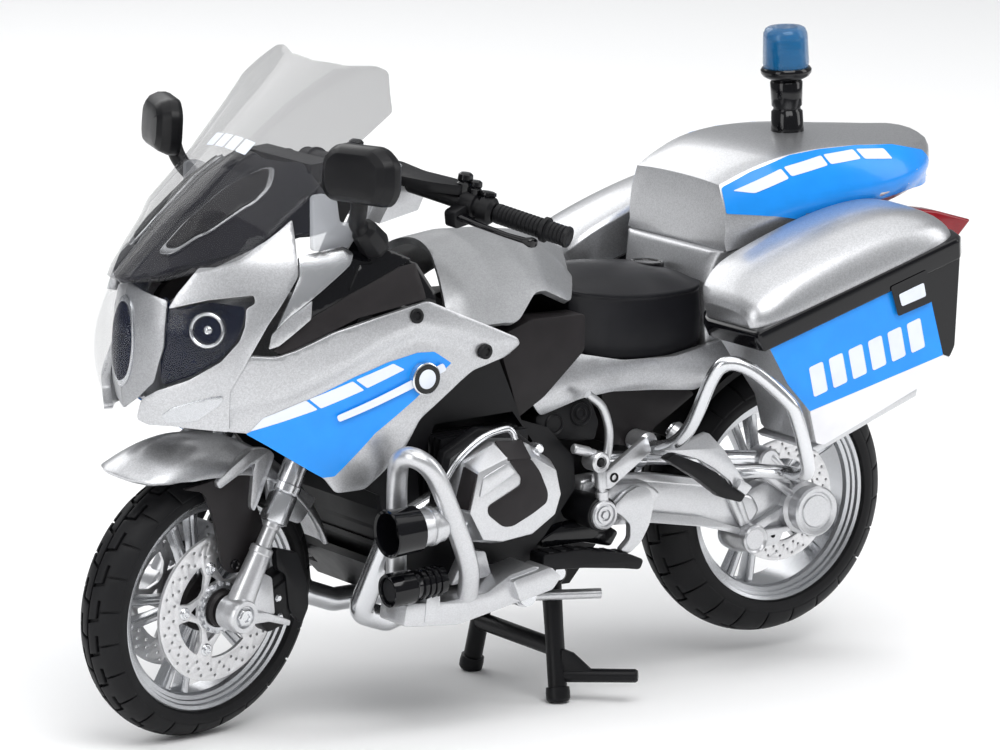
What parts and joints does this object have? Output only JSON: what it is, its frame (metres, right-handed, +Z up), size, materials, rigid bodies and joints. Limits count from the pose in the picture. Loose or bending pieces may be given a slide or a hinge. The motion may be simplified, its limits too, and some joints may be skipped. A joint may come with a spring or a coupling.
{
  "type": "toy police motorcycle",
  "caption": "Toy police touring motorcycle on its centre stand, with steering, free wheels, folding stands, clear screen, panniers, top case and beacon.",
  "frame": {"origin": "on the floor, at the middle of the footprint box, between the two wheels and midway between the panniers", "axes": "+X forward towards the front wheel, +Y to the rider's left, +Z up"},
  "size_m": [0.1849, 0.0868, 0.1194],
  "materials": {
    "silver_paint": "satin",
    "tank_silver": "satin",
    "clear_plastic": "gloss",
    "lamp_dark": "gloss",
    "gloss_black": "gloss",
    "matt_black": "matte",
    "dark_grey": "satin",
    "grip_rubber": "matte",
    "blue_panel": "gloss",
    "beacon_blue": "gloss",
    "tail_red": "gloss",
    "mirror_face": "polished",
    "engine_black": "satin",
    "cast_silver": "satin",
    "bright_tube": "gloss",
    "silencer_steel": "satin",
    "lamp_black": "gloss",
    "pin_steel": "satin",
    "rim_silver": "satin",
    "disc_steel": "satin",
    "tyre_rubber": "matte",
    "stand_black": "satin",
    "stand_silver": "satin"
  },
  "bodies": {
    "frame": {"nose_fairing": "silver_paint", "side_panel_left": "silver_paint", "side_panel_right": "silver_paint", "tail_covers": "silver_paint", "case_tower": "silver_paint", "top_case": "silver_paint", "pannier_lids": "silver_paint", "tank_cover": "tank_silver", "headlight_lens": "clear_plastic", "windscreen": "clear_plastic", "headlight_bucket": "lamp_dark", "upper_panels": "gloss_black", "beacon_pole": "gloss_black", "pannier_rims": "gloss_black", "mirrors": "gloss_black", "inner_cowl": "matt_black", "dash": "matt_black", "rider_seat": "matt_black", "inner_shrouds": "matt_black", "belly_pan": "matt_black", "side_boxes": "matt_black", "rear_mudguard": "matt_black", "plate_holder": "matt_black", "chassis": "matt_black", "panel_screws": "matt_black", "knee_panels": "dark_grey", "footrests": "grip_rubber", "pannier_shells": "blue_panel", "beacon_dome": "beacon_blue", "tail_lamps": "tail_red", "mirror_glasses": "mirror_face", "engine_block": "engine_black", "cylinders": "engine_black", "head_covers": "cast_silver", "swingarm": "cast_silver", "peg_carriers": "cast_silver", "pannier_guards": "bright_tube", "crash_bars": "bright_tube", "exhaust_pipes": "bright_tube", "silencer": "silencer_steel", "fog_lamps": "lamp_black", "spot_lamps": "lamp_black", "frame_pins": "pin_steel"},
    "steering": {"steering_stem": "cast_silver", "fork_legs": "cast_silver", "front_axle": "pin_steel", "front_fender": "silver_paint", "fender_blades": "matt_black", "front_calipers": "cast_silver", "handlebar": "matt_black", "grips": "grip_rubber", "bar_controls": "gloss_black"},
    "front_wheel": {"front_rim": "rim_silver", "front_tyre": "tyre_rubber", "front_brake_discs": "disc_steel"},
    "rear_wheel": {"rear_rim": "rim_silver", "rear_tyre": "tyre_rubber", "rear_brake_disc": "disc_steel"},
    "centre_stand": {"centre_stand": "stand_black"},
    "side_stand": {"side_stand": "stand_silver"}
  },
  "joints": [
    {"name": "steering_turn", "type": "hinge", "parent": "frame", "child": "steering", "pos_m": [0.04807, 0, 0.06], "axis": [-0.4368, 0, 0.8996], "range_deg": [-38, 17]},
    {"name": "front_wheel_spin", "type": "hinge", "parent": "steering", "child": "front_wheel", "pos_m": [0.06747, 0.0004, 0.02493], "axis": [-0.1655, 0.9829, -0.0804], "continuous": true},
    {"name": "rear_wheel_spin", "type": "hinge", "parent": "frame", "child": "rear_wheel", "pos_m": [-0.05625, 0, 0.03], "axis": [0, 1, 0], "continuous": true},
    {"name": "centre_stand_fold", "type": "hinge", "parent": "frame", "child": "centre_stand", "pos_m": [-0.0024, 0, 0.0234], "axis": [0, 1, 0], "range_deg": [0, 75]},
    {"name": "side_stand_fold", "type": "hinge", "parent": "frame", "child": "side_stand", "pos_m": [0.006, 0.0123, 0.0206], "axis": [0, -1, 0], "range_deg": [0, 78]}
  ]
}
